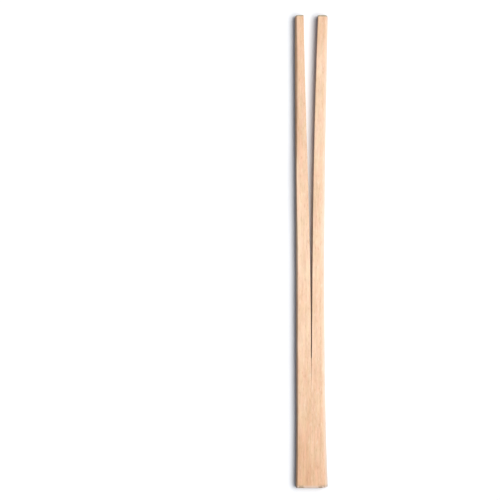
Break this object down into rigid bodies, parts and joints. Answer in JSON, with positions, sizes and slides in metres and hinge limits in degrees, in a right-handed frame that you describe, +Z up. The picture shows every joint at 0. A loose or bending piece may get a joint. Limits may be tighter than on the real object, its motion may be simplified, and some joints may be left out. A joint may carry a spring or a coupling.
{
  "type": "joined wooden chopsticks",
  "caption": "Flat pale wooden chopsticks still joined at the butt, tapered towards the tips and prised partly apart, for picking up food.",
  "frame": {"origin": "on the flat underside, below the middle of the outline's box; the slit line runs through it", "axes": "+Z up through the thickness, +Y along the length from the joined butt to the tips, +X across the pair"},
  "size_m": [0.0144, 0.203, 0.0048],
  "materials": {
    "wood": "dry planed softly figured wood, matte"
  },
  "bodies": {
    "root": {"chopstick_pair": "wood"}
  },
  "joints": []
}
